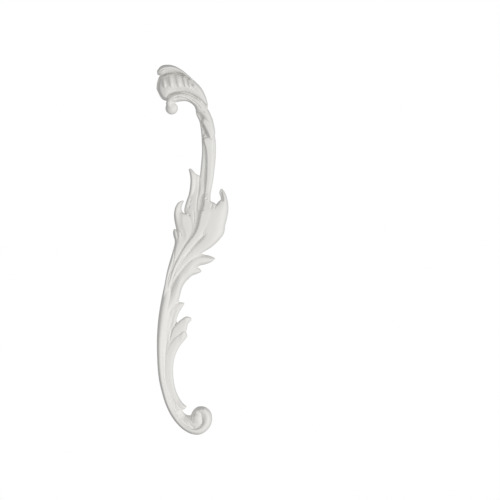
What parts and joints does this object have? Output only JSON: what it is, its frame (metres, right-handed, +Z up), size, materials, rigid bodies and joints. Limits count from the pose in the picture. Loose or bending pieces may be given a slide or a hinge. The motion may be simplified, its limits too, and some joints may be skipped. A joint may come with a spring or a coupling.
{
  "type": "scroll onlay",
  "caption": "Tall S-shaped moulded relief onlay with a fluted shell top, leaf-wrapped stem, acanthus lobes and a foot scroll, flat at the back.",
  "frame": {"origin": "on the flat back, at the middle of the onlay's width and height", "axes": "+Z up along the onlay, +Y out of the flat back into the surface that it is fixed to, +X to the right as seen from the front"},
  "size_m": [0.0699, 0.0171, 0.3597],
  "materials": {
    "white_primed_moulding": "smooth matte white primer"
  },
  "bodies": {
    "root": {"scroll_onlay": "white_primed_moulding"}
  },
  "joints": []
}
